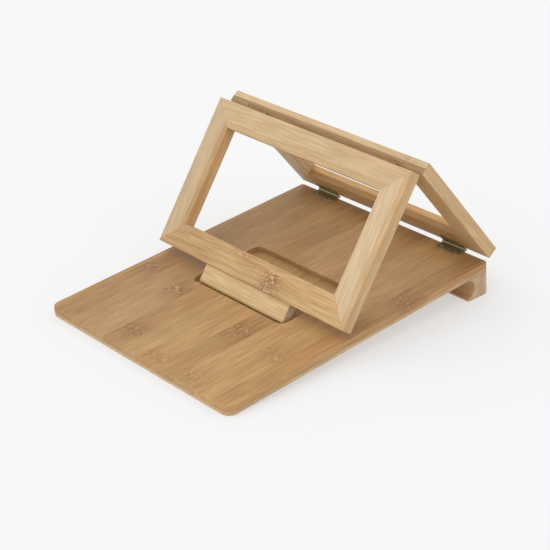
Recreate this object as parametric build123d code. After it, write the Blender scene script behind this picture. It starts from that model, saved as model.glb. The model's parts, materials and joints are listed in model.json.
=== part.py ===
from build123d import *
from math import cos, radians, sin
import os

# Book display stand: a tilted base board, and two hinged frames that stand on it like an A.
#
# Everything is first laid out in the board's own frame: X to the right, Y towards the rear
# along the board, Z square to the board's top, origin at the middle of the top's front edge.
# At the end the whole stand is tilted back onto its foot, and its origin becomes the middle
# of its bounding box on the floor, with +Z up and the front towards -Y.
# All sizes are in millimetres and degrees.

# Base board
BOARD_WIDTH = 280.8
BOARD_DEPTH = 357.3
BOARD_THICKNESS = 10.5
BOARD_FRONT_CORNER = 10.5
BOARD_REAR_CORNER = 4.0
BOARD_TOP_EASE = 1.0
BOARD_BOTTOM_EASE = 0.8
BOARD_TILT = 4.4

# Blind recess in the board's top, where the tongue stands
RECESS_WIDTH = 140.0
RECESS_FRONT = 131.3
RECESS_REAR = 225.5
RECESS_DEPTH = 6.3
RECESS_CORNER = 8.5
RECESS_EASE = 0.6

# Rear foot, a bar with a round cove in its front face
FOOT_DEPTH = 30.5
COVE_RADIUS = 10.5
COVE_TOP_LIP = 1.2
FOOT_REAR_EASE = 4.0
FOOT_END_EASE = 1.2
FOOT_LIP_EASE = 1.1

# Two frames, each of four mitred bars
FRAME_WIDTH = 282.0
REAR_FRAME_HEIGHT = 164.8
FRONT_FRAME_HEIGHT = 166.6
FRAME_THICKNESS = 13.5
BAR_WIDTH = 28.0
BAR_OUTER_EASE = 1.0
BAR_INNER_EASE = 0.8
REAR_FRAME_ANGLE = 54.5
FRONT_FRAME_ANGLE = 51.87

# Stopped chamfer along the ridge, on the inner edge of each top rail
RIDGE_CHAMFER = 4.0
RIDGE_CHAMFER_LENGTH = 230.0

# Tongue below the front frame
TONGUE_WIDTH = 128.0
TONGUE_THICKNESS = 10.35
TONGUE_TOE_RADIUS = 3.0
TONGUE_HEEL_RADIUS = 1.0
TONGUE_SIDE_EASE = 0.8
TONGUE_FLOOR_GAP = 0.1

# Hinges, screwed onto the inner faces
HINGE_X = {"left": -97.5, "right": 92.5}
HINGE_LENGTH = 32.5
KNUCKLE_RADIUS = 1.5
KNUCKLE_GAP = 0.15
PIVOT_ABOVE_FACE = 1.15
PIVOT_PAST_EDGE = 1.7
RIDGE_PAST_EDGE = 0.9
LEAF_DEPTH = 13.2
LEAF_NEAR_EDGE = 1.8
LEAF_THICKNESS = 0.9
LEAF_CORNER = 4.5
LEAF_EDGE_EASE = 0.3
PIN_RADIUS = 0.65
PIN_CLEARANCE = 0.05

# Hinge screws
SCREW_SPACING = 19.5
SCREW_FROM_PIVOT = 8.8
SCREW_RADIUS = 0.9
SCREW_LENGTH = 8.0
SCREW_CLEARANCE = 0.05
SCREW_HEAD_RADIUS = 1.9
SCREW_HEAD_HEIGHT = 0.8
SCREW_SLOT_WIDTH = 0.45
SCREW_SLOT_DEPTH = 0.35

# Hidden joinery
SPLINE_LENGTH = 18.0
SPLINE_DEPTH = 14.0
SPLINE_THICKNESS = 2.0
SPLINE_CLEARANCE = 0.1
DOWEL_RADIUS = 2.5
DOWEL_CLEARANCE = 0.05
FOOT_DOWEL_X = (-126.0, -42.0, 42.0, 126.0)
FOOT_DOWEL_FROM_REAR = 10.0
FOOT_DOWEL_IN_BOARD = 6.0
FOOT_DOWEL_IN_FOOT = 12.0
TONGUE_DOWEL_X = (-45.0, 0.0, 45.0)
TONGUE_DOWEL_HALF = 12.0

# Directions in the side view, seen from the board's frame
REAR_UP = Vector(0, -cos(radians(REAR_FRAME_ANGLE)), sin(radians(REAR_FRAME_ANGLE)))
REAR_OUT = Vector(0, sin(radians(REAR_FRAME_ANGLE)), cos(radians(REAR_FRAME_ANGLE)))
FRONT_UP = Vector(0, cos(radians(FRONT_FRAME_ANGLE)), sin(radians(FRONT_FRAME_ANGLE)))
FRONT_OUT = Vector(0, -sin(radians(FRONT_FRAME_ANGLE)), cos(radians(FRONT_FRAME_ANGLE)))
BOARD_FORWARD = Vector(0, -1, 0)
BOARD_UP = Vector(0, 0, 1)

# The two pivot axes run along X through these points
LOWER_PIVOT = Vector(0, BOARD_DEPTH + PIVOT_PAST_EDGE, PIVOT_ABOVE_FACE)
RIDGE_PIVOT = LOWER_PIVOT + REAR_UP * (PIVOT_PAST_EDGE + REAR_FRAME_HEIGHT + RIDGE_PAST_EDGE)

# The middle of each frame's lower inner edge
REAR_FRAME_FOOT = LOWER_PIVOT + REAR_OUT * PIVOT_ABOVE_FACE + REAR_UP * PIVOT_PAST_EDGE
FRONT_FRAME_FOOT = (
    RIDGE_PIVOT + FRONT_OUT * PIVOT_ABOVE_FACE - FRONT_UP * (RIDGE_PAST_EDGE + FRONT_FRAME_HEIGHT)
)

# The floor passes under the board's rounded front edge. This is its height along world up.
TILT_SIN = sin(radians(BOARD_TILT))
TILT_COS = cos(radians(BOARD_TILT))
FLOOR_HEIGHT = (
    BOARD_BOTTOM_EASE * TILT_SIN
    - (BOARD_THICKNESS - BOARD_BOTTOM_EASE) * TILT_COS
    - BOARD_BOTTOM_EASE
)

FROM_FLOOR = (Align.CENTER, Align.CENTER, Align.MIN)


def floor_z(y):
    """Height of the floor in the board's frame, at a distance y from the front edge."""
    return (FLOOR_HEIGHT - y * TILT_SIN) / TILT_COS


def nearest_corner(sketch, x, y):
    """The corner of a flat outline nearest to a point."""
    return sketch.vertices().sort_by_distance((x, y, 0))[0]


def face_plane(foot, up, out):
    """Plane on a flat face: local Y runs up the face and local Z stands out of it."""
    return Plane(origin=foot, x_dir=up.cross(out), z_dir=out)


REAR_FACE = face_plane(REAR_FRAME_FOOT, REAR_UP, REAR_OUT)
FRONT_FACE = face_plane(FRONT_FRAME_FOOT, FRONT_UP, FRONT_OUT)


def leaf_planes(pivot, along, towards_pin):
    """Planes of the left and right hinge leaf that lie on one wooden face."""
    planes = {}
    for side, x in HINGE_X.items():
        origin = pivot - towards_pin * PIVOT_ABOVE_FACE + Vector(x, 0, 0)
        planes[side] = face_plane(origin, along, towards_pin)
    return planes


BOARD_LEAVES = leaf_planes(LOWER_PIVOT, BOARD_FORWARD, BOARD_UP)
REAR_LOWER_LEAVES = leaf_planes(LOWER_PIVOT, REAR_UP, REAR_OUT * -1)
REAR_UPPER_LEAVES = leaf_planes(RIDGE_PIVOT, REAR_UP * -1, REAR_OUT * -1)
FRONT_LEAVES = leaf_planes(RIDGE_PIVOT, FRONT_UP * -1, FRONT_OUT * -1)


# Fasteners and hinges, in the frame of a leaf: X along the pin, Y away from it, Z off the wood


def screw_points():
    """Where the screws of one leaf stand."""
    return [(sign * SCREW_SPACING / 2, SCREW_FROM_PIVOT) for sign in (-1, 1)]


def hinge_screw():
    """Round-head slotted wood screw whose head sits on the leaf."""
    shank_length = SCREW_LENGTH + LEAF_THICKNESS
    shank = Pos(0, 0, -SCREW_LENGTH) * Cylinder(SCREW_RADIUS, shank_length, align=FROM_FLOOR)
    ball_radius = (SCREW_HEAD_RADIUS**2 + SCREW_HEAD_HEIGHT**2) / (2 * SCREW_HEAD_HEIGHT)
    ball = Pos(0, 0, SCREW_HEAD_HEIGHT - ball_radius) * Sphere(ball_radius)
    head = ball & Cylinder(ball_radius, SCREW_HEAD_HEIGHT, align=FROM_FLOOR)
    slot_length = 4 * SCREW_HEAD_RADIUS
    slot = Pos(0, 0, SCREW_HEAD_HEIGHT) * Box(SCREW_SLOT_WIDTH, slot_length, 2 * SCREW_SLOT_DEPTH)
    return shank + Pos(0, 0, LEAF_THICKNESS) * (head - slot)


def leaf_screws(planes):
    """The screws of the leaves on the given planes."""
    return [
        plane.location * Pos(x, y, 0) * hinge_screw()
        for plane in planes.values()
        for x, y in screw_points()
    ]


def pilot_holes(planes):
    """The holes in the wood for those screws."""
    radius = SCREW_RADIUS + SCREW_CLEARANCE
    depth = SCREW_LENGTH + 2 * SCREW_CLEARANCE
    return [
        plane.location * Pos(x, y, -depth / 2) * Cylinder(radius, depth)
        for plane in planes.values()
        for x, y in screw_points()
    ]


def knuckle_spans(outer):
    """The stretches of the pin that one leaf wraps: the two outer ones or the middle one."""
    middle_end = HINGE_LENGTH / 6 - KNUCKLE_GAP / 2
    outer_start = HINGE_LENGTH / 6 + KNUCKLE_GAP / 2
    outer_end = HINGE_LENGTH / 2
    if outer:
        return [(-outer_end, -outer_start), (outer_start, outer_end)]
    return [(-middle_end, middle_end)]


def hinge_leaf(outer):
    """Leaf with rounded corners, its knuckles, the pin bore and two screw holes."""
    depth = LEAF_DEPTH - LEAF_NEAR_EDGE
    leaf = Pos(0, LEAF_NEAR_EDGE + depth / 2, LEAF_THICKNESS / 2) * Box(
        HINGE_LENGTH, depth, LEAF_THICKNESS
    )
    leaf = fillet(leaf.edges().filter_by(Axis.Z).group_by(Axis.Y)[-1], LEAF_CORNER)
    rim = leaf.faces().sort_by(Axis.Z)[-1].edges().sort_by(Axis.Y)[1:]
    leaf = fillet(rim, LEAF_EDGE_EASE)
    for start, end in knuckle_spans(outer):
        middle = (start + end) / 2
        strap = Pos(middle, 0, 0) * Box(
            end - start, LEAF_NEAR_EDGE, LEAF_THICKNESS, align=(Align.CENTER, Align.MIN, Align.MIN)
        )
        knuckle = Rot(0, 90, 0) * Cylinder(KNUCKLE_RADIUS, end - start)
        leaf += strap + Pos(middle, 0, PIVOT_ABOVE_FACE) * knuckle
    bore = Rot(0, 90, 0) * Cylinder(PIN_RADIUS + PIN_CLEARANCE, 2 * HINGE_LENGTH)
    leaf -= Pos(0, 0, PIVOT_ABOVE_FACE) * bore
    for x, y in screw_points():
        leaf -= Pos(x, y, 0) * Cylinder(SCREW_RADIUS + SCREW_CLEARANCE, 4 * LEAF_THICKNESS)
    return leaf


def hinge_pin(pivot, x):
    """The pin of the hinge at x, as long as its knuckles."""
    centre = pivot + Vector(x, 0, 0)
    return Location(centre) * Rot(0, 90, 0) * Cylinder(PIN_RADIUS, HINGE_LENGTH)


# Base board and foot


def foot_dowels(clearance):
    """Upright dowels that join the foot to the board."""
    y = BOARD_DEPTH - FOOT_DOWEL_FROM_REAR
    top = FOOT_DOWEL_IN_BOARD - BOARD_THICKNESS + clearance
    bottom = -BOARD_THICKNESS - FOOT_DOWEL_IN_FOOT - clearance
    dowel = Cylinder(DOWEL_RADIUS + clearance, top - bottom, align=FROM_FLOOR)
    return [Pos(x, y, bottom) * dowel for x in FOOT_DOWEL_X]


def board_outline():
    """The board seen from above, with rounder corners at the front."""
    outline = Pos(0, BOARD_DEPTH / 2) * Rectangle(BOARD_WIDTH, BOARD_DEPTH)
    outline = fillet(outline.vertices().group_by(Axis.Y)[-1], BOARD_REAR_CORNER)
    return fillet(outline.vertices().group_by(Axis.Y)[0], BOARD_FRONT_CORNER)


def base_board():
    """Board with a blind recess and eased edges."""
    board = extrude(board_outline(), -BOARD_THICKNESS)
    board = fillet(board.faces().sort_by(Axis.Z)[-1].edges(), BOARD_TOP_EASE)
    board = fillet(board.faces().sort_by(Axis.Z)[0].edges(), BOARD_BOTTOM_EASE)

    recess_length = RECESS_REAR - RECESS_FRONT
    recess = RectangleRounded(RECESS_WIDTH, recess_length, RECESS_CORNER)
    board -= Pos(0, RECESS_FRONT + recess_length / 2, 0) * extrude(recess, -RECESS_DEPTH)
    rim = board.faces().sort_by(Axis.Z)[-1].inner_wires()[0].edges()
    board = fillet(rim, RECESS_EASE)

    board -= pilot_holes(BOARD_LEAVES)
    board -= foot_dowels(DOWEL_CLEARANCE)
    return board


def rear_foot():
    """Bar under the rear edge, its bottom cut to lie flat on the floor."""
    front = BOARD_DEPTH - FOOT_DEPTH
    cove_z = -BOARD_THICKNESS - COVE_TOP_LIP - COVE_RADIUS
    corners = [
        (front, -BOARD_THICKNESS),
        (front, floor_z(front)),
        (BOARD_DEPTH, floor_z(BOARD_DEPTH)),
        (BOARD_DEPTH, -BOARD_THICKNESS),
    ]
    section = Polygon(*corners, align=None)
    section = fillet(nearest_corner(section, *corners[2]), FOOT_REAR_EASE)
    section -= Pos(front, cove_z) * Circle(COVE_RADIUS)
    lip_corners = [corners[1], (front, cove_z - COVE_RADIUS)]
    section = fillet([nearest_corner(section, *corner) for corner in lip_corners], FOOT_LIP_EASE)
    foot = extrude(Plane.YZ * section, BOARD_WIDTH / 2, both=True)
    foot &= extrude(board_outline(), 2 * floor_z(BOARD_DEPTH))
    cove_face = foot.faces().filter_by(GeomType.CYLINDER).sort_by(Axis.Y)[0]
    cove_rims = [edge for edge in cove_face.edges() if abs(edge.center().X) > BOARD_WIDTH / 2 - 1]
    foot = fillet(cove_rims, FOOT_END_EASE)
    foot -= foot_dowels(DOWEL_CLEARANCE)
    return foot


# Frames, in the frame of a face plane: X across, Y up the frame, Z out of the inner face


def mitred_bar(length):
    """Bar along X with its outer edge on Y = 0, eased along its length and mitred at its ends."""
    bar = Box(length, BAR_WIDTH, FRAME_THICKNESS, align=(Align.CENTER, Align.MIN, Align.MIN))
    bar = fillet(bar.edges().filter_by(Axis.X).group_by(Axis.Z)[-1], BAR_OUTER_EASE)
    bar = fillet(bar.edges().filter_by(Axis.X).group_by(Axis.Z)[0], BAR_INNER_EASE)
    half = length / 2
    mitres = Polygon(
        (-half, 0), (half, 0), (half - BAR_WIDTH, BAR_WIDTH), (BAR_WIDTH - half, BAR_WIDTH), align=None
    )
    return bar & extrude(mitres, FRAME_THICKNESS)


def corner_splines(height, clearance):
    """Flat loose splines that cross the four mitres of a frame at mid thickness."""
    plate = Rot(0, 0, 45) * Box(
        SPLINE_LENGTH + 2 * clearance, SPLINE_DEPTH + 2 * clearance, SPLINE_THICKNESS + 2 * clearance
    )
    mirrored = Rot(0, 0, 90) * plate
    x = FRAME_WIDTH / 2 - BAR_WIDTH / 2
    low = BAR_WIDTH / 2
    high = height - BAR_WIDTH / 2
    z = FRAME_THICKNESS / 2
    return [
        Pos(x, low, z) * plate,
        Pos(-x, low, z) * mirrored,
        Pos(x, high, z) * mirrored,
        Pos(-x, high, z) * plate,
    ]


def ridge_chamfer(height):
    """Wedge taken off the inner edge of a top rail, stopped short of the corners."""
    wedge = Polygon((0, 0), (-RIDGE_CHAMFER, 0), (0, RIDGE_CHAMFER), align=None)
    half_length = RIDGE_CHAMFER_LENGTH / 2
    return Pos(0, height, 0) * extrude(Plane.YZ * wedge, half_length, both=True)


def frame_bars(plane, height):
    """The four bars of one frame, keyed by name, placed on its face plane."""
    half_width = FRAME_WIDTH / 2
    half_height = height / 2
    rail = mitred_bar(FRAME_WIDTH)
    stile = mitred_bar(height)
    right = 1 if plane.x_dir.X > 0 else -1
    bars = {
        "bottom_rail": rail,
        "top_rail": Pos(0, height, 0) * Rot(0, 0, 180) * rail - ridge_chamfer(height),
        "right_stile": Pos(right * half_width, half_height, 0) * Rot(0, 0, right * 90) * stile,
        "left_stile": Pos(-right * half_width, half_height, 0) * Rot(0, 0, -right * 90) * stile,
    }
    slots = corner_splines(height, SPLINE_CLEARANCE)
    return {name: plane.location * (bar - slots) for name, bar in bars.items()}


# Tongue


def tongue_dowels(clearance):
    """Dowels along the front frame that join the tongue to the bottom rail."""
    length = 2 * (TONGUE_DOWEL_HALF + clearance)
    dowel = Rot(90, 0, 0) * Cylinder(DOWEL_RADIUS + clearance, length)
    return [
        FRONT_FACE.location * Pos(x, 0, TONGUE_THICKNESS / 2) * dowel for x in TONGUE_DOWEL_X
    ]


def support_tongue():
    """Slat below the front frame, with a rounded toe that stands in the recess."""
    back_top = FRONT_FRAME_FOOT
    front_top = FRONT_FRAME_FOOT + FRONT_OUT * TONGUE_THICKNESS
    sole_z = TONGUE_FLOOR_GAP - RECESS_DEPTH
    heel = back_top + FRONT_UP * ((sole_z - back_top.Z) / FRONT_UP.Z)
    toe = front_top + FRONT_UP * ((sole_z - front_top.Z) / FRONT_UP.Z)
    corners = [(point.Y, point.Z) for point in (back_top, heel, toe, front_top)]
    section = Polygon(*corners, align=None)
    section = fillet(nearest_corner(section, toe.Y, toe.Z), TONGUE_TOE_RADIUS)
    section = fillet(nearest_corner(section, heel.Y, heel.Z), TONGUE_HEEL_RADIUS)
    tongue = extrude(Plane.YZ * section, TONGUE_WIDTH / 2, both=True)
    for side_face in (tongue.faces().sort_by(Axis.X)[0], tongue.faces().sort_by(Axis.X)[-1]):
        rim = side_face.edges().sort_by(Axis.Z)[:-1]
        tongue = fillet(rim, TONGUE_SIDE_EASE)
    tongue -= tongue_dowels(DOWEL_CLEARANCE)
    return tongue


def base_nodes():
    """What stands still: the board, its foot, and the leaves and pins of the rear hinges."""
    nodes = {
        "base_board": base_board(),
        "rear_foot": rear_foot(),
        "foot_dowels": Compound(children=foot_dowels(0)),
        "base_hinge_screws": Compound(children=leaf_screws(BOARD_LEAVES)),
    }
    for side, x in HINGE_X.items():
        nodes[f"rear_hinge_{side}_base_leaf"] = BOARD_LEAVES[side].location * hinge_leaf(True)
        nodes[f"rear_hinge_{side}_pin"] = hinge_pin(LOWER_PIVOT, x)
    return nodes


def rear_frame_nodes():
    """The rear frame, with the leaves at both its ends and the pins of the ridge hinges."""
    bars = frame_bars(REAR_FACE, REAR_FRAME_HEIGHT)
    nodes = {f"rear_frame_{name}": bar for name, bar in bars.items()}
    nodes["rear_frame_bottom_rail"] -= pilot_holes(REAR_LOWER_LEAVES)
    nodes["rear_frame_top_rail"] -= pilot_holes(REAR_UPPER_LEAVES)
    splines = [REAR_FACE.location * spline for spline in corner_splines(REAR_FRAME_HEIGHT, 0)]
    nodes["rear_frame_splines"] = Compound(children=splines)
    screws = leaf_screws(REAR_LOWER_LEAVES) + leaf_screws(REAR_UPPER_LEAVES)
    nodes["rear_frame_hinge_screws"] = Compound(children=screws)
    for side, x in HINGE_X.items():
        lower = REAR_LOWER_LEAVES[side].location
        upper = REAR_UPPER_LEAVES[side].location
        nodes[f"rear_hinge_{side}_frame_leaf"] = lower * hinge_leaf(False)
        nodes[f"ridge_hinge_{side}_rear_leaf"] = upper * hinge_leaf(True)
        nodes[f"ridge_hinge_{side}_pin"] = hinge_pin(RIDGE_PIVOT, x)
    return nodes


def front_frame_nodes():
    """The front frame with its tongue and the front leaves of the ridge hinges."""
    bars = frame_bars(FRONT_FACE, FRONT_FRAME_HEIGHT)
    nodes = {f"front_frame_{name}": bar for name, bar in bars.items()}
    nodes["front_frame_bottom_rail"] -= tongue_dowels(DOWEL_CLEARANCE)
    nodes["front_frame_top_rail"] -= pilot_holes(FRONT_LEAVES)
    splines = [FRONT_FACE.location * spline for spline in corner_splines(FRONT_FRAME_HEIGHT, 0)]
    nodes["front_frame_splines"] = Compound(children=splines)
    nodes["support_tongue"] = support_tongue()
    nodes["tongue_dowels"] = Compound(children=tongue_dowels(0))
    nodes["front_frame_hinge_screws"] = Compound(children=leaf_screws(FRONT_LEAVES))
    for side in HINGE_X:
        nodes[f"ridge_hinge_{side}_front_leaf"] = FRONT_LEAVES[side].location * hinge_leaf(False)
    return nodes


def standing_location(nodes):
    """The move that tilts the stand onto the floor, with its box centred on the origin."""
    tilt = Pos(0, 0, -FLOOR_HEIGHT) * Rot(BOARD_TILT, 0, 0)
    boxes = [(tilt * shape).bounding_box() for shape in nodes.values()]
    front = min(box.min.Y for box in boxes)
    rear = max(box.max.Y for box in boxes)
    return Pos(0, -(front + rear) / 2, 0) * tilt


def main():
    nodes = base_nodes() | rear_frame_nodes() | front_frame_nodes()
    standing = standing_location(nodes)
    os.makedirs("parts", exist_ok=True)
    for name, shape in nodes.items():
        export_step(standing * shape, f"parts/{name}.step")
    for label, pivot in (("lower pivot", LOWER_PIVOT), ("ridge pivot", RIDGE_PIVOT)):
        placed = (standing * Location(pivot)).position
        print(label, f"Y {placed.Y:.3f}", f"Z {placed.Z:.3f}")


main()
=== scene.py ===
import json
import math
import random

import bpy
from mathutils import Matrix, Vector

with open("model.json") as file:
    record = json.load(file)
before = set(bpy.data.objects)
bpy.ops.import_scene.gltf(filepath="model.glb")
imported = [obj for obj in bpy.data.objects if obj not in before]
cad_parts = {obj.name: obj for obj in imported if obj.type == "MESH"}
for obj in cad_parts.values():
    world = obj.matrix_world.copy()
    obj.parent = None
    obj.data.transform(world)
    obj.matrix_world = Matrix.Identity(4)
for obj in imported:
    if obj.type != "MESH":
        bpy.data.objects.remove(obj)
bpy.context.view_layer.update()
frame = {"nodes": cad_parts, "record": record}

# Looks of the book display stand. Every shape is the CAD frame's own. This script gives each CAD
# node a procedural material, and adds the floor, the light and the camera.
# Materials work in millimetres along three axes of their own piece: across the strips of wood,
# along its grain, and through its thickness.

MM = 1000.0
RECORD = frame["record"]

# The stand's layout, as the CAD has it
BOARD_TILT = math.radians(4.4)
REAR_FRAME_ANGLE = math.radians(54.5)
FRONT_FRAME_ANGLE = math.radians(51.87)
BOARD_DEPTH = 357.3
BOARD_WIDTH = 280.8
FRAME_WIDTH = 282.0
REAR_FRAME_HEIGHT = 164.8
FRONT_FRAME_HEIGHT = 166.6
BAR_WIDTH = 28.0
TONGUE_WIDTH = 128.0
PIVOT_ABOVE_FACE = 1.15
PIVOT_PAST_EDGE = 1.7
RIDGE_PAST_EDGE = 0.9
KNUCKLE_RADIUS = 1.5

# Camera, from a perspective fit to the photograph
CAMERA_PLACE = (1.10222, -0.97987, 0.78194)
CAMERA_TURN = (63.0293, 0.9337, 47.8334)
CAMERA_LENS = 104.941

# Light and floor: the floor is a lit shooting table, so part of its light is its own
WORLD_STRENGTH = 1.03
SUN_STRENGTH = 0.75
SUN_ANGLE = 60.0
SUN_TURN = (28.0, -12.0, -8.0)
FLOOR_SIZE = 20.0
FLOOR_TONE = 0.356
FLOOR_GLOW = 0.50

TILT = Matrix.Rotation(BOARD_TILT, 3, "X")
RIGHT = Vector((1, 0, 0))
BACK = TILT @ Vector((0, 1, 0))
UP = TILT @ Vector((0, 0, 1))
REAR_UP = TILT @ Vector((0, -math.cos(REAR_FRAME_ANGLE), math.sin(REAR_FRAME_ANGLE)))
REAR_OUT = TILT @ Vector((0, math.sin(REAR_FRAME_ANGLE), math.cos(REAR_FRAME_ANGLE)))
FRONT_UP = TILT @ Vector((0, math.cos(FRONT_FRAME_ANGLE), math.sin(FRONT_FRAME_ANGLE)))
FRONT_OUT = TILT @ Vector((0, -math.sin(FRONT_FRAME_ANGLE), math.cos(FRONT_FRAME_ANGLE)))

PIVOTS = {
    joint["name"]: Vector(joint["pos_m"]) * MM for joint in RECORD["behaviour"]["joints"]
}
LOWER_PIVOT = PIVOTS["rear_frame_hinge"]
RIDGE_PIVOT = PIVOTS["front_frame_hinge"]
BOARD_FRONT = (
    LOWER_PIVOT - BACK * (BOARD_DEPTH + PIVOT_PAST_EDGE) - UP * PIVOT_ABOVE_FACE
)
REAR_FOOT_POINT = LOWER_PIVOT + REAR_OUT * PIVOT_ABOVE_FACE + REAR_UP * PIVOT_PAST_EDGE
FRONT_FOOT_POINT = (
    RIDGE_PIVOT + FRONT_OUT * PIVOT_ABOVE_FACE - FRONT_UP * (RIDGE_PAST_EDGE + FRONT_FRAME_HEIGHT)
)


class Tree:
    """Adds nodes to a node tree. Numbers, tuples and other nodes' outputs can feed any input."""

    def __init__(self, tree):
        self.tree = tree

    def feed(self, socket, value):
        if isinstance(value, bpy.types.NodeSocket):
            self.tree.links.new(value, socket)
        else:
            socket.default_value = value

    def node(self, kind, inputs=None, output=0, **settings):
        made = self.tree.nodes.new(kind)
        for name, value in settings.items():
            setattr(made, name, value)
        for key, value in (inputs or {}).items():
            self.feed(made.inputs[key], value)
        return made.outputs[output]

    def math(self, operation, *values):
        return self.node("ShaderNodeMath", dict(enumerate(values)), operation=operation)

    def add(self, *values):
        total = values[0]
        for value in values[1:]:
            total = self.math("ADD", total, value)
        return total

    def times(self, *values):
        product = values[0]
        for value in values[1:]:
            product = self.math("MULTIPLY", product, value)
        return product

    def split(self, vector):
        made = self.tree.nodes.new("ShaderNodeSeparateXYZ")
        self.feed(made.inputs[0], vector)
        return made.outputs[0], made.outputs[1], made.outputs[2]

    def split_colour(self, value):
        made = self.tree.nodes.new("ShaderNodeSeparateColor")
        self.feed(made.inputs[0], value)
        return made.outputs[0], made.outputs[1], made.outputs[2]

    def join(self, x, y, z):
        return self.node("ShaderNodeCombineXYZ", {0: x, 1: y, 2: z})

    def stretch(self, value, low, high, new_low=0.0, new_high=1.0):
        """Eased step from new_low to new_high as the value goes from low to high."""
        inputs = {0: value, 1: low, 2: high, 3: new_low, 4: new_high}
        return self.node("ShaderNodeMapRange", inputs, interpolation_type="SMOOTHSTEP")

    def noise(self, point, sizes, detail=2.0, shift=0.0):
        """Noise from 0 to 1 whose grains have the given sizes along the three axes."""
        scale = tuple(1.0 / size for size in sizes)
        place = self.node(
            "ShaderNodeMapping", {"Vector": point, "Scale": scale, "Location": (shift, shift, shift)}
        )
        return self.node("ShaderNodeTexNoise", {"Vector": place, "Scale": 1.0, "Detail": detail})

    def mix(self, factor, first, second, blend="MIX"):
        inputs = {0: factor, 6: first, 7: second}
        return self.node("ShaderNodeMix", inputs, 2, data_type="RGBA", blend_type=blend)


def colour(red, green, blue):
    return (red, green, blue, 1.0)


# Bamboo: one node group holds the grain, and each piece's material holds its strips.

# Grain sizes in mm across the strips, along the grain and through the piece
WANDER_GRAIN = (18.0, 70.0, 18.0)
RAGGED_GRAIN = (5.0, 16.0, 5.0)
SWIRL_GRAIN = (4.0, 7.0, 4.0)
HAIR_GRAIN = (0.5, 24.0, 0.5)
FIBRE_GRAIN = (1.3, 36.0, 1.3)
STREAK_GRAIN = (3.4, 80.0, 3.4)
CLOUD_GRAIN = (12.0, 38.0, 12.0)
HUE_GRAIN = (5.5, 140.0, 5.5)
VESSEL_GRAIN = (0.45, 16.0, 0.45)
PATCH_GRAIN = (2.5, 4.6, 2.5)
CURL_GRAIN = (3.2, 8.0, 3.2)
FLECK_GRAIN = (1.8, 4.2, 1.8)

# How far fibres wander and each strip's grain is moved, in mm
RAGGED_PUSH = 22.0
WANDER_PUSH = 5.0
SWIRL_PUSH = 11.0
STRIP_SHIFT = 900.0

# Node marks: how far they reach in mm, their strengths and their colours
NODE_HALO = 34.0
NODE_REACH = 11.0
CURL_REACH = 10.0
PATCH_STRENGTH = 0.72
PATCH_LOST_TO_CURL = 0.4
FLECK_STRENGTH = 0.65
RING_DARK = colour(0.235, 0.092, 0.028)
RING_LIGHT = colour(0.58, 0.42, 0.24)
RING_PALE = colour(0.86, 0.68, 0.45)
HALO_TONE = colour(0.82, 0.77, 0.72)

# The colours that fibres drift between, and the strength of their dark vessels
YELLOW = colour(0.985, 1.01, 0.97)
RUSTY = colour(1.01, 0.965, 0.93)
VESSEL_STRENGTH = 0.30


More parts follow.
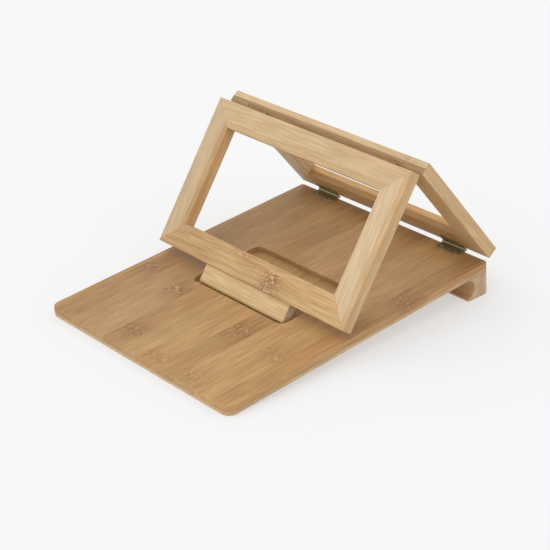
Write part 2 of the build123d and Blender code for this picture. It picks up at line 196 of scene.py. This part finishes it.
def bamboo_group():
    """Group: point in mm, colours and a strip's node mark in; colour, roughness, height out."""
    group = bpy.data.node_groups.new("bamboo_grain", "ShaderNodeTree")
    sockets = [
        ("Point", "INPUT", "NodeSocketVector"),
        ("Light", "INPUT", "NodeSocketColor"),
        ("Dark", "INPUT", "NodeSocketColor"),
        ("Shift", "INPUT", "NodeSocketFloat"),
        ("Node Place", "INPUT", "NodeSocketFloat"),
        ("Node Strength", "INPUT", "NodeSocketFloat"),
        ("Curl", "INPUT", "NodeSocketFloat"),
        ("Color", "OUTPUT", "NodeSocketColor"),
        ("Roughness", "OUTPUT", "NodeSocketFloat"),
        ("Height", "OUTPUT", "NodeSocketFloat"),
    ]
    for name, way, kind in sockets:
        group.interface.new_socket(name, in_out=way, socket_type=kind)
    t = Tree(group)
    given = group.nodes.new("NodeGroupInput").outputs
    across, along, through = t.split(given["Point"])

    # Each strip has its own stretch of grain, and its fibres wander a little sideways.
    moved = t.join(across, t.add(along, t.times(given["Shift"], STRIP_SHIFT)), through)
    wander = t.math("SUBTRACT", t.noise(moved, WANDER_GRAIN, 1.0, 3.1), 0.5)
    ragged = t.math("SUBTRACT", t.noise(moved, RAGGED_GRAIN, 2.0, 6.8), 0.5)
    from_node = t.math("SUBTRACT", along, given["Node Place"])
    from_node = t.math("ABSOLUTE", t.add(from_node, t.times(ragged, RAGGED_PUSH)))
    strength = given["Node Strength"]
    reach = t.add(NODE_REACH, t.times(given["Curl"], CURL_REACH))
    near = t.times(t.stretch(from_node, 0.0, reach, 1.0, 0.0), strength)
    halo = t.times(t.stretch(from_node, 2.0, NODE_HALO, 1.0, 0.0), strength)
    swirl = t.math("SUBTRACT", t.noise(moved, SWIRL_GRAIN, 2.0, 9.7), 0.5)
    sideways = t.add(t.times(wander, WANDER_PUSH), t.times(swirl, near, SWIRL_PUSH))
    moved_across, moved_along, moved_through = t.split(moved)
    fibre_point = t.join(t.add(moved_across, sideways), moved_along, moved_through)

    hair = t.noise(fibre_point, HAIR_GRAIN, 3.0, 1.3)
    fibre = t.noise(fibre_point, FIBRE_GRAIN, 3.0, 5.9)
    streak = t.noise(fibre_point, STREAK_GRAIN, 2.0, 7.2)
    cloud = t.noise(moved, CLOUD_GRAIN, 2.0, 2.4)
    grain = t.add(
        t.times(hair, 0.22), t.times(fibre, 0.42), t.times(streak, 0.20), t.times(cloud, 0.16)
    )
    tone = t.mix(t.stretch(grain, 0.40, 0.60), given["Dark"], given["Light"])
    hue = t.stretch(t.noise(fibre_point, HUE_GRAIN, 1.0, 14.4), 0.40, 0.60)
    tone = t.mix(1.0, tone, t.mix(hue, RUSTY, YELLOW), "MULTIPLY")

    # Dark vessels are short hairlines.
    vessel = t.stretch(t.noise(fibre_point, VESSEL_GRAIN, 1.0, 11.0), 0.60, 0.74)
    tone = t.mix(t.times(vessel, VESSEL_STRENGTH), tone, given["Dark"])

    # A node mark: a darker halo, and in it dark patches, dark curls and pale flecks.
    tone = t.mix(halo, tone, HALO_TONE, "MULTIPLY")
    patch = t.stretch(t.noise(fibre_point, PATCH_GRAIN, 2.0, 4.6), 0.45, 0.60)
    patch_strength = t.math(
        "SUBTRACT", PATCH_STRENGTH, t.times(given["Curl"], PATCH_LOST_TO_CURL)
    )
    tone = t.mix(t.times(near, patch, patch_strength), tone, RING_DARK)
    ridge = t.math("SUBTRACT", t.noise(fibre_point, CURL_GRAIN, 1.0, 21.3), 0.5)
    curl = t.stretch(t.math("ABSOLUTE", ridge), 0.02, 0.08, 1.0, 0.0)
    tone = t.mix(t.times(near, curl, given["Curl"]), tone, RING_DARK)
    fleck = t.stretch(t.noise(fibre_point, FLECK_GRAIN, 1.0, 16.5), 0.53, 0.70)
    pale = t.mix(t.times(given["Curl"], given["Curl"]), RING_LIGHT, RING_PALE)
    tone = t.mix(t.times(near, fleck, FLECK_STRENGTH), tone, pale)

    rough = t.add(0.40, t.times(hair, 0.16), t.times(vessel, 0.10))
    height = t.add(t.times(hair, 0.55), t.times(fibre, 0.35), t.times(near, fleck, 0.4))
    height = t.math("SUBTRACT", height, t.times(vessel, 0.35))
    result = group.nodes.new("NodeGroupOutput").inputs
    t.feed(result["Color"], tone)
    t.feed(result["Roughness"], rough)
    t.feed(result["Height"], height)
    return group


BAMBOO = bamboo_group()


class Axes:
    """A piece's own axes, with an origin in millimetres in the row frame."""

    def __init__(self, origin, across, along, through):
        self.origin = origin
        self.rows = Matrix((across, along, through))

    def point(self, t):
        """The shaded point in millimetres along the three axes."""
        turned = self.rows @ self.origin
        inputs = {
            "Vector": t.node("ShaderNodeTexCoord", output="Object"),
            "Location": tuple(-turned),
            "Rotation": tuple(self.rows.to_euler("XYZ")),
            "Scale": (MM, MM, MM),
        }
        return t.node("ShaderNodeMapping", inputs)

    def normal(self, t):
        """The surface's direction along the three axes."""
        inputs = {
            "Vector": t.node("ShaderNodeTexCoord", output="Normal"),
            "Rotation": tuple(self.rows.to_euler("XYZ")),
        }
        return t.node("ShaderNodeMapping", inputs, vector_type="VECTOR")


def strip_values(t, position, strips, end):
    """Each strip's own tone, node place, node strength and warmth, from a stepped ramp."""
    made = t.tree.nodes.new("ShaderNodeValToRGB")
    ramp = made.color_ramp
    ramp.interpolation = "CONSTANT"
    while len(ramp.elements) > 1:
        ramp.elements.remove(ramp.elements[-1])
    first = strips[0][0]
    for start, *values in strips:
        share = (start - first) / (end - first)
        element = ramp.elements.new(share) if share > 0 else ramp.elements[0]
        element.position = share
        element.color = values
    t.feed(made.inputs[0], t.node("ShaderNodeMapRange", {0: position, 1: first, 2: end}))
    return [*t.split_colour(made.outputs["Color"]), made.outputs["Alpha"]]


# Farther than any glue line is from a point, in mm
FAR = 99.0


def nearest_seam(t, position, strips):
    """Distance in mm to the nearest glue line between strips."""
    nearest = FAR
    for start, *_ in strips[1:]:
        gap = t.math("ABSOLUTE", t.math("SUBTRACT", position, start))
        nearest = t.math("MINIMUM", nearest, gap)
    return nearest


# How strongly glue lines, strips, mitres, cut ends and worn edges show; widths are in mm
SEAM_WIDTH = 0.55
SEAM_DARK = 0.22
WARM = colour(1.10, 0.92, 0.74)
# Cut ends are paler and bluer: end grain, and painted light for the light the white floor throws on
# them.
END_GRAIN_TONE_AND_PAINTED_LIGHT = colour(1.00, 1.10, 1.36)
MITRE_WIDTH = 0.5
MITRE_DARK = 0.45
WEAR_TONE = colour(1.10, 1.09, 1.07)
DOT_GRAIN = (0.7, 30.0, 0.7)
DOT_STRENGTH = 0.35
RUB_GRAIN = (3.0, 22.0, 3.0)
BUMP_DEPTH = 0.00012
STRIP_CONTRAST = 0.4


def shades(red, green, blue, depth):
    """Light and dark fibres round a mean tone; depth is how far the dark ones go."""
    light = colour(red * (1 + 0.5 * depth), green * (1 + 0.5 * depth), blue * (1 + 0.5 * depth))
    dark = colour(red * (1 - depth), green * (1 - 1.25 * depth), blue * (1 - 1.6 * depth))
    return light, dark


class Wood:
    """One bamboo piece: its colours, its plies of strips and where its grain starts and ends.

    grain is (depth, curl, lean): how far the dark fibres go, how strong the dark curls in node
    marks are, and how much paler the piece grows per millimetre along its grain.
    plies holds (height where the ply starts, shade of its sides, shade of its cut ends, strips),
    lowest first. The side and end shades hold the ply's own tone and also painted light and painted
    shade for how the light falls on those faces. end is where the last strip ends.
    A strip is (start, tone, node place, node strength, warmth), the last four from 0 to 1.
    """

    def __init__(self, tone, grain, plies, end, grain_from, grain_to):
        depth, self.curl, self.lean = grain
        self.light, self.dark = shades(*tone, depth)
        self.plies = plies
        self.end = end
        self.grain_from = grain_from
        self.grain_to = grain_to


def bamboo_material(name, axes, wood, mitre=None):
    """Material of one piece. mitre is the piece's outer edge across, for the lines at its ends."""
    material = bpy.data.materials.new(name)
    material.use_nodes = True
    t = Tree(material.node_tree)
    point = axes.point(t)
    across, along, through = t.split(point)
    facing = [t.math("ABSOLUTE", part) for part in t.split(axes.normal(t))]

    _, shade, end_shade, strips = wood.plies[0]
    values = strip_values(t, across, strips, wood.end)
    seam = nearest_seam(t, across, strips)
    for start, next_shade, next_end_shade, strips in wood.plies[1:]:
        above = t.math("GREATER_THAN", through, start)
        next_values = strip_values(t, across, strips, wood.end)
        values = [
            t.node("ShaderNodeMix", {0: above, 2: low, 3: high})
            for low, high in zip(values, next_values)
        ]
        next_seam = nearest_seam(t, across, strips)
        seam = t.node("ShaderNodeMix", {0: above, 2: seam, 3: next_seam})
        seam = t.math("MINIMUM", seam, t.math("ABSOLUTE", t.math("SUBTRACT", through, start)))
        shade = t.mix(above, shade, next_shade)
        end_shade = t.mix(above, end_shade, next_end_shade)
    tone, place, strength, warmth = values

    grain = t.tree.nodes.new("ShaderNodeGroup")
    grain.node_tree = BAMBOO
    place = t.add(wood.grain_from, t.times(place, wood.grain_to - wood.grain_from))
    feeds = {
        "Point": point,
        "Light": wood.light,
        "Dark": wood.dark,
        "Shift": tone,
        "Node Place": place,
        "Node Strength": strength,
        "Curl": wood.curl,
    }
    for key, value in feeds.items():
        t.feed(grain.inputs[key], value)

    level = t.add(1.0 - STRIP_CONTRAST / 2, t.times(tone, STRIP_CONTRAST), t.times(along, wood.lean))
    paint = t.mix(1.0, grain.outputs["Color"], t.join(level, level, level), "MULTIPLY")
    paint = t.mix(warmth, paint, WARM, "MULTIPLY")
    glue = t.stretch(seam, 0.0, SEAM_WIDTH, SEAM_DARK, 0.0)
    paint = t.mix(glue, paint, wood.dark, "MULTIPLY")

    # The sides of the strips have their own shade, and cut ends theirs: the wood's own tone, and
    # also painted light and painted shade for how the light falls on those faces. Cut ends also show
    # the vessels as dots.
    paint = t.mix(t.stretch(facing[0], 0.5, 0.9), paint, shade, "MULTIPLY")
    cut = t.stretch(facing[1], 0.55, 0.9)
    dots = t.stretch(t.noise(point, DOT_GRAIN, 1.0, 8.3), 0.55, 0.7)
    paint = t.mix(cut, paint, end_shade, "MULTIPLY")
    paint = t.mix(t.times(cut, dots, DOT_STRENGTH), paint, wood.dark, "MULTIPLY")

    # Sanded edges are a little paler and duller.
    flat = t.math("MAXIMUM", facing[0], t.math("MAXIMUM", facing[1], facing[2]))
    rub = t.noise(point, RUB_GRAIN, 2.0, 12.6)
    wear = t.times(t.stretch(flat, 0.72, 0.97, 1.0, 0.0), t.stretch(rub, 0.3, 0.7))
    paint = t.mix(wear, paint, WEAR_TONE, "MULTIPLY")

    if mitre is not None:
        from_outer = t.math("ABSOLUTE", t.math("SUBTRACT", across, mitre))
        from_end = t.math("SUBTRACT", wood.grain_to, t.math("ABSOLUTE", along))
        line = t.math("ABSOLUTE", t.math("SUBTRACT", from_end, from_outer))
        dark_line = t.stretch(line, 0.0, MITRE_WIDTH, MITRE_DARK, 0.0)
        paint = t.mix(dark_line, paint, wood.dark, "MULTIPLY")

    shader = t.tree.nodes["Principled BSDF"]
    bump = {"Strength": 0.7, "Distance": BUMP_DEPTH, "Height": grain.outputs["Height"]}
    t.feed(shader.inputs["Base Color"], paint)
    t.feed(shader.inputs["Roughness"], t.add(grain.outputs["Roughness"], t.times(wear, 0.12)))
    t.feed(shader.inputs["Normal"], t.node("ShaderNodeBump", bump))
    t.feed(shader.inputs["Specular IOR Level"], 0.3)
    return material


def even_strips(first, width, values):
    """Strips of one width, side by side from the first one's start."""
    return [(first + count * width, *value) for count, value in enumerate(values)]


# The tones, grain and strips of each piece; strips start at millimetres across it

PLAIN = colour(1.0, 1.0, 1.0)
# Painted light: the board's sides are painted lighter for the light the floor throws on them, and
# the lower ply is paler wood as well.
BOARD_UPPER_SIDE_PAINTED_LIGHT = colour(1.08, 1.12, 1.20)
BOARD_LOWER_SIDE_TONE_AND_PAINTED_LIGHT = colour(1.13, 1.25, 1.58)
# The board's cut front end: paler end grain and painted floor light, strongest in the lower ply.
BOARD_UPPER_END_TONE_AND_PAINTED_LIGHT = colour(1.16, 1.22, 1.30)
BOARD_LOWER_END_TONE_AND_PAINTED_LIGHT = colour(1.28, 1.42, 1.85)
FRONT_SIDE = colour(0.99, 0.94, 0.85)
# Painted light: the left stile's sides, its window side among them, are painted lighter for the
# light that falls on them.
LEFT_STILE_SIDE_PAINTED_LIGHT = colour(1.42, 1.38, 1.28)
# The rear rails' edges: the upper ply near plain, the lower ply darker, partly its own tone and
# partly painted shade along the window edges and the ridge.
RAIL_UPPER_SIDE = colour(1.03, 1.00, 0.96)
RAIL_LOWER_SIDE_TONE_AND_PAINTED_SHADE = colour(0.60, 0.49, 0.37)
BOARD_TONE = (0.408, 0.250, 0.112)
# The board's lean makes it a little darker towards the rear: painted shade from the frames above.
BOARD_GRAIN = (0.20, 0.35, -0.00012)
BOARD_PLY = 6.2
BOARD_STRIP_WIDTH = 27.8
BOARD_FIRST_STRIP = (-BOARD_WIDTH / 2, 0.35, 0.50, 0.0, 0.4)
BOARD_SECOND_START = -133.2
BOARD_STRIP_VALUES = [
    (0.12, 0.34, 0.8, 0.3),
    (0.32, 0.80, 0.3, 0.1),
    (0.52, 0.30, 1.0, 0.0),
    (0.28, 0.08, 0.8, 0.4),
    (0.60, 0.62, 0.3, 0.1),
    (0.69, 0.03, 0.5, 0.2),
    (0.33, 0.27, 0.9, 0.4),
    (0.79, 0.04, 0.6, 0.1),
    (0.73, 0.25, 0.7, 0.2),
    (0.48, 0.68, 0.7, 0.4),
]
BOARD_OTHER_STRIPS = even_strips(BOARD_SECOND_START, BOARD_STRIP_WIDTH, BOARD_STRIP_VALUES)
BOARD_STRIPS = [BOARD_FIRST_STRIP, *BOARD_OTHER_STRIPS]
BOARD_LOWER_STRIPS = [
    (-BOARD_WIDTH / 2, 0.90, 0.2, 0.3, 0.0),
    (-50.0, 0.98, 0.7, 0.4, 0.0),
    (10.0, 0.92, 0.2, 0.3, 0.0),
    (68.0, 0.95, 0.1, 0.4, 0.0),
]
BAR_GRAIN = (0.15, 0.35, 0.0)
BOTTOM_RAIL_GRAIN = (0.22, 0.95, -0.0006)
BOTTOM_RAIL_VALUES = [
    (0.52, 0.400, 0.8, 0.3),
    (0.50, 0.394, 1.0, 0.3),
    (0.56, 0.386, 1.0, 0.4),
    (0.47, 0.571, 0.5, 0.3),
]
BOTTOM_RAIL_STRIPS = even_strips(0.0, BAR_WIDTH / 4, BOTTOM_RAIL_VALUES)
TONGUE_STRIPS = [(0.0, 0.45, 0.5, 0.0, 0.2), (14.0, 0.55, 0.5, 0.0, 0.0)]
TOP_RAIL_STRIPS = [(0.0, 0.42, 0.3, 0.0, 0.35), (6.5, 0.62, 0.6, 0.0, 0.0)]
LEFT_STILE_STRIPS = [(0.0, 0.80, 0.5, 0.0, 0.0), (21.5, 0.27, 0.5, 0.0, 1.0)]
RIGHT_STILE_STRIPS = [(0.0, 0.70, 0.5, 0.0, 0.0), (21.5, 0.33, 0.5, 0.0, 0.7)]


def random_strips(seed, starts):
    """Strips with seeded tones and a few faint node marks."""
    draw = random.Random(seed)
    strips = []
    for start in starts:
        tone = draw.uniform(0.38, 0.62)
        place = draw.uniform(0.05, 0.95)
        strength = draw.choice((0.0, 0.0, 0.5))
        warmth = draw.uniform(0.0, 0.35)
        strips.append((start, tone, place, strength, warmth))
    return strips


def paint_node(name, material):
    """Gives a CAD node its material through the object's own slots."""
    node = frame["nodes"][name]
    if not node.material_slots:
        node.data.materials.append(None)
    for slot in node.material_slots:
        slot.link = "OBJECT"
        slot.material = material


def paint_board():
    axes = Axes(BOARD_FRONT, RIGHT, BACK, UP)
    plies = [
        (0.0, BOARD_LOWER_SIDE_TONE_AND_PAINTED_LIGHT, BOARD_LOWER_END_TONE_AND_PAINTED_LIGHT, BOARD_LOWER_STRIPS),
        (-BOARD_PLY, BOARD_UPPER_SIDE_PAINTED_LIGHT, BOARD_UPPER_END_TONE_AND_PAINTED_LIGHT, BOARD_STRIPS),
    ]
    wood = Wood(BOARD_TONE, BOARD_GRAIN, plies, BOARD_WIDTH / 2, 0.0, BOARD_DEPTH)
    paint_node("base_board", bamboo_material("board_bamboo", axes, wood))


FOOT_TONE = (0.505, 0.335, 0.185)
FOOT_GRAIN = (0.16, 0.35, 0.0)
FOOT_PLY = 6.1
FOOT_PLY_TONES = (0.50, 0.62, 0.42, 0.20, 0.85)


def paint_foot():
    """The foot's plies stand upright, one behind another, with their grain across the stand."""
    origin = BOARD_FRONT + BACK * BOARD_DEPTH
    axes = Axes(origin, BACK, RIGHT * -1, UP)
    values = [(tone, 0.5, 0.0, 0.2) for tone in FOOT_PLY_TONES]
    strips = even_strips(-FOOT_PLY * len(values), FOOT_PLY, values)
    # Its cut ends, the visible right end among them, are paler: end grain and painted light.
    plies = [(0.0, PLAIN, END_GRAIN_TONE_AND_PAINTED_LIGHT, strips)]
    wood = Wood(FOOT_TONE, FOOT_GRAIN, plies, 0.0, -BOARD_WIDTH / 2, BOARD_WIDTH / 2)
    paint_node("rear_foot", bamboo_material("foot_bamboo", axes, wood))


# Each bar: its frame, where it starts up and across, which way it runs, its outer edge, its tone
# and its strips in the upper ply.

FRONT_TONES = {
    "bottom_rail": (0.505, 0.350, 0.186),
    "top_rail": (0.525, 0.380, 0.222),
    "left_stile": (0.465, 0.345, 0.214),
    "right_stile": (0.555, 0.424, 0.270),
}
FRONT_STRIPS = {
    "bottom_rail": BOTTOM_RAIL_STRIPS,
    "top_rail": TOP_RAIL_STRIPS,
    "left_stile": LEFT_STILE_STRIPS,
    "right_stile": RIGHT_STILE_STRIPS,
}
REAR_TONES = {
    "bottom_rail": (0.515, 0.350, 0.175),
    "top_rail": (0.548, 0.432, 0.272),
    "left_stile": (0.530, 0.385, 0.215),
    "right_stile": (0.560, 0.390, 0.214),
}
REAR_STARTS = (0.0, 19.5)
LOWER_PLY_STARTS = (0.0, 8.0)
PLY_THICKNESS = 6.75


def bar_axes(foot_point, up, out, height, bar):
    """Axes and outer edge of one bar, whose through axis stands out of its frame."""
    rails = {"bottom_rail": (0.0, 0.0), "top_rail": (height - BAR_WIDTH, BAR_WIDTH)}
    if bar in rails:
        start, outer = rails[bar]
        return Axes(foot_point + up * start, up, out.cross(up), out), outer
    across = up.cross(out)
    left_end = -FRAME_WIDTH / 2 if bar == "left_stile" else FRAME_WIDTH / 2 - BAR_WIDTH
    origin = foot_point + up * (height / 2) + RIGHT * left_end
    outer = 0.0 if bar == "left_stile" else BAR_WIDTH
    if across.x < 0:
        origin = origin + RIGHT * BAR_WIDTH
        outer = BAR_WIDTH - outer
    return Axes(origin, across, up, out), outer


def paint_bar(name, axes, outer, length, tone, grain, lower, upper):
    """Material of one mitred bar; lower and upper are its plies' shades and strips."""
    plies = [(0.0, *lower), (PLY_THICKNESS, *upper)]
    wood = Wood(tone, grain, plies, BAR_WIDTH, -length / 2, length / 2)
    paint_node(name, bamboo_material(f"{name}_bamboo", axes, wood, outer))


def paint_front_frame():
    for count, (bar, tone) in enumerate(FRONT_TONES.items()):
        axes, outer = bar_axes(FRONT_FOOT_POINT, FRONT_UP, FRONT_OUT, FRONT_FRAME_HEIGHT, bar)
        length = FRAME_WIDTH if bar.endswith("rail") else FRONT_FRAME_HEIGHT
        # The left stile's sides carry painted light; the other bars' sides a slightly warmer tone.
        side = LEFT_STILE_SIDE_PAINTED_LIGHT if bar == "left_stile" else FRONT_SIDE
        lower = (side, END_GRAIN_TONE_AND_PAINTED_LIGHT, random_strips(210 + count, LOWER_PLY_STARTS))
        upper = (side, END_GRAIN_TONE_AND_PAINTED_LIGHT, FRONT_STRIPS[bar])
        grain = BOTTOM_RAIL_GRAIN if bar == "bottom_rail" else BAR_GRAIN
        paint_bar(f"front_frame_{bar}", axes, outer, length, tone, grain, lower, upper)


def paint_rear_frame():
    for count, (bar, tone) in enumerate(REAR_TONES.items()):
        axes, outer = bar_axes(REAR_FOOT_POINT, REAR_UP, REAR_OUT, REAR_FRAME_HEIGHT, bar)
        length = FRAME_WIDTH if bar.endswith("rail") else REAR_FRAME_HEIGHT
        rail = bar.endswith("rail")
        # On the rails the lower ply's sides are darker: their own tone and painted shade.
        lower_side_tone_and_shade, upper_side = (RAIL_LOWER_SIDE_TONE_AND_PAINTED_SHADE, RAIL_UPPER_SIDE) if rail else (PLAIN, PLAIN)
        lower = (lower_side_tone_and_shade, END_GRAIN_TONE_AND_PAINTED_LIGHT, random_strips(310 + count, LOWER_PLY_STARTS))
        upper = (upper_side, END_GRAIN_TONE_AND_PAINTED_LIGHT, random_strips(300 + count, REAR_STARTS))
        paint_bar(f"rear_frame_{bar}", axes, outer, length, tone, BAR_GRAIN, lower, upper)


TONGUE_TONE = (0.605, 0.440, 0.245)


def paint_tongue():
    origin = FRONT_FOOT_POINT - FRONT_UP * BAR_WIDTH
    axes = Axes(origin, FRONT_UP, FRONT_OUT.cross(FRONT_UP), FRONT_OUT)
    plies = [(0.0, PLAIN, END_GRAIN_TONE_AND_PAINTED_LIGHT, TONGUE_STRIPS)]
    half = TONGUE_WIDTH / 2
    wood = Wood(TONGUE_TONE, BAR_GRAIN, plies, BAR_WIDTH, -half, half)
    paint_node("support_tongue", bamboo_material("tongue_bamboo", axes, wood))


JOINERY_TONE = (0.56, 0.41, 0.23)
JOINERY_GRAIN = (0.14, 0.35, 0.0)
JOINERY_STARTS = (-140.0, -50.0, 50.0)
JOINERY_END = 140.0
JOINERY_REACH = 180.0


def paint_joinery():
    """Dowels and splines, hidden in the joints: plain bare wood."""
    board_axes = Axes(BOARD_FRONT, RIGHT, UP * -1, BACK)
    front_axes = Axes(FRONT_FOOT_POINT, RIGHT, FRONT_UP, FRONT_OUT)
    rear_axes = Axes(REAR_FOOT_POINT, RIGHT * -1, REAR_UP, REAR_OUT)
    pieces = {
        "foot_dowels": board_axes,
        "tongue_dowels": front_axes,
        "front_frame_splines": front_axes,
        "rear_frame_splines": rear_axes,
    }
    for count, (name, axes) in enumerate(pieces.items()):
        strips = random_strips(90 + count, JOINERY_STARTS)
        plies = [(0.0, PLAIN, END_GRAIN_TONE_AND_PAINTED_LIGHT, strips)]
        wood = Wood(
            JOINERY_TONE, JOINERY_GRAIN, plies, JOINERY_END, -JOINERY_REACH, JOINERY_REACH
        )
        paint_node(name, bamboo_material(f"{name}_bamboo", axes, wood))


# Antique brass: dark in the low parts, rubbed on the knuckles, the rims and the screw heads.
# The ridge hinges, deep in their gap, are painted darker and browner and left unrubbed: painted
# shade, so that they sit in the gap's shadow.

BRASS_DARK = colour(0.235, 0.182, 0.082)
BRASS_MIDDLE = colour(0.400, 0.325, 0.170)
BRASS_RUBBED = colour(0.470, 0.390, 0.245)
PATINA_GRAIN = (2.6, 2.6, 2.6)
SPECK_GRAIN = (0.45, 0.45, 0.45)
SCRATCH_GRAIN = (0.25, 6.0, 0.25)
BRASS_BUMP_DEPTH = 0.00008
RIDGE_PAINTED_SHADE_DARK = colour(0.260, 0.150, 0.070)
RIDGE_PAINTED_SHADE_MIDDLE = colour(0.370, 0.230, 0.115)


def metal_material(name, axes, low, high, rubbed_round, rubbed_rims):
    """Brass tarnished from low to high (painted shade on the ridge hinges), worn as given on
    knuckles and rims.
    """
    material = bpy.data.materials.new(name)
    material.use_nodes = True
    t = Tree(material.node_tree)
    point = axes.point(t)
    across, _, through = t.split(point)
    facing = [t.math("ABSOLUTE", part) for part in t.split(axes.normal(t))]
    patina_and_shade = t.noise(point, PATINA_GRAIN, 4.0, 3.3)
    specks = t.noise(point, SPECK_GRAIN, 2.0, 6.1)
    scratch = t.noise(point, SCRATCH_GRAIN, 1.0, 9.4)
    paint = t.mix(t.stretch(patina_and_shade, 0.35, 0.68), low, high)
    paint = t.mix(t.times(t.stretch(specks, 0.6, 0.8), 0.5), paint, BRASS_RUBBED)
    flat = t.math("MAXIMUM", facing[0], t.math("MAXIMUM", facing[1], facing[2]))
    rims = t.stretch(flat, 0.78, 0.985, 1.0, 0.0)
    reach = t.math("SQRT", t.add(t.times(across, across), t.times(through, through)))
    off_round = t.math("ABSOLUTE", t.math("SUBTRACT", reach, KNUCKLE_RADIUS))
    on_round = t.stretch(off_round, 0.1, 0.35, rubbed_round, 0.0)
    wear = t.math("MAXIMUM", t.times(rims, rubbed_rims), on_round)
    wear = t.times(wear, t.stretch(specks, 0.15, 0.5, 0.45, 1.0))
    paint = t.mix(wear, paint, BRASS_RUBBED)
    rough = t.add(0.46, t.times(patina_and_shade, 0.22), t.times(wear, -0.16), t.times(scratch, 0.08))
    height = t.add(t.times(specks, 0.6), t.times(scratch, 0.3))
    bump = {"Strength": 0.5, "Distance": BRASS_BUMP_DEPTH, "Height": height}
    shader = t.tree.nodes["Principled BSDF"]
    t.feed(shader.inputs["Base Color"], paint)
    t.feed(shader.inputs["Roughness"], rough)
    t.feed(shader.inputs["Metallic"], 0.85)
    t.feed(shader.inputs["Normal"], t.node("ShaderNodeBump", bump))
    return material


def paint_hinges():
    leaf_axes = {
        "rear_hinge_{}_base_leaf": Axes(LOWER_PIVOT, BACK, RIGHT * -1, UP),
        "rear_hinge_{}_frame_leaf": Axes(LOWER_PIVOT, REAR_UP, RIGHT, REAR_OUT),
        "ridge_hinge_{}_rear_leaf": Axes(RIDGE_PIVOT, REAR_UP, RIGHT, REAR_OUT),
        "ridge_hinge_{}_front_leaf": Axes(RIDGE_PIVOT, FRONT_UP, RIGHT * -1, FRONT_OUT),
        "rear_hinge_{}_pin": Axes(LOWER_PIVOT, BACK, RIGHT * -1, UP),
        "ridge_hinge_{}_pin": Axes(RIDGE_PIVOT, BACK, RIGHT * -1, UP),
    }
    olive = (BRASS_DARK, BRASS_MIDDLE, 0.75, 0.8)
    # Painted shade: the ridge hinges get darker, browner tones and no rubbed knuckles.
    ridge_painted_shade = (RIDGE_PAINTED_SHADE_DARK, RIDGE_PAINTED_SHADE_MIDDLE, 0.0, 0.15)
    for pattern, axes in leaf_axes.items():
        name = pattern.replace("_{}", "")
        patina_and_shade = ridge_painted_shade if name.startswith("ridge") else olive
        material = metal_material(f"{name}_brass", axes, *patina_and_shade)
        for side in ("left", "right"):
            paint_node(pattern.format(side), material)
    screw_axes = {
        "base_hinge_screws": Axes(LOWER_PIVOT, BACK, RIGHT * -1, UP),
        "rear_frame_hinge_screws": Axes(LOWER_PIVOT, REAR_UP, RIGHT, REAR_OUT),
        "front_frame_hinge_screws": Axes(RIDGE_PIVOT, FRONT_UP, RIGHT * -1, FRONT_OUT),
    }
    rubbed_heads = (BRASS_DARK, BRASS_MIDDLE, 0.0, 0.8)
    for name, axes in screw_axes.items():
        paint_node(name, metal_material(f"{name}_brass", axes, *rubbed_heads))


def add_floor():
    bpy.ops.mesh.primitive_plane_add(size=FLOOR_SIZE)
    floor = bpy.context.object
    floor.name = "floor"
    material = bpy.data.materials.new("floor_white")
    material.use_nodes = True
    shader = material.node_tree.nodes["Principled BSDF"]
    shader.inputs["Base Color"].default_value = colour(FLOOR_TONE, FLOOR_TONE, FLOOR_TONE)
    shader.inputs["Emission Color"].default_value = colour(1.0, 1.0, 1.0)
    shader.inputs["Emission Strength"].default_value = FLOOR_GLOW
    shader.inputs["Roughness"].default_value = 0.9
    shader.inputs["Specular IOR Level"].default_value = 0.0
    floor.data.materials.append(material)


def add_light():
    world = bpy.data.worlds.new("studio")
    world.use_nodes = True
    background = world.node_tree.nodes["Background"]
    background.inputs["Color"].default_value = colour(1.0, 1.0, 1.0)
    background.inputs["Strength"].default_value = WORLD_STRENGTH
    bpy.context.scene.world = world
    sun_data = bpy.data.lights.new("softbox", "SUN")
    sun_data.energy = SUN_STRENGTH
    sun_data.angle = math.radians(SUN_ANGLE)
    sun = bpy.data.objects.new("softbox", sun_data)
    sun.rotation_euler = [math.radians(angle) for angle in SUN_TURN]
    bpy.context.scene.collection.objects.link(sun)


def add_camera():
    data = bpy.data.cameras.new("camera")
    data.lens = CAMERA_LENS
    camera = bpy.data.objects.new("camera", data)
    camera.location = CAMERA_PLACE
    camera.rotation_euler = [math.radians(angle) for angle in CAMERA_TURN]
    bpy.context.scene.collection.objects.link(camera)
    bpy.context.scene.camera = camera


paint_board()
paint_foot()
paint_front_frame()
paint_rear_frame()
paint_tongue()
paint_joinery()
paint_hinges()
add_floor()
add_light()
add_camera()
bpy.context.scene.view_settings.view_transform = "Standard"
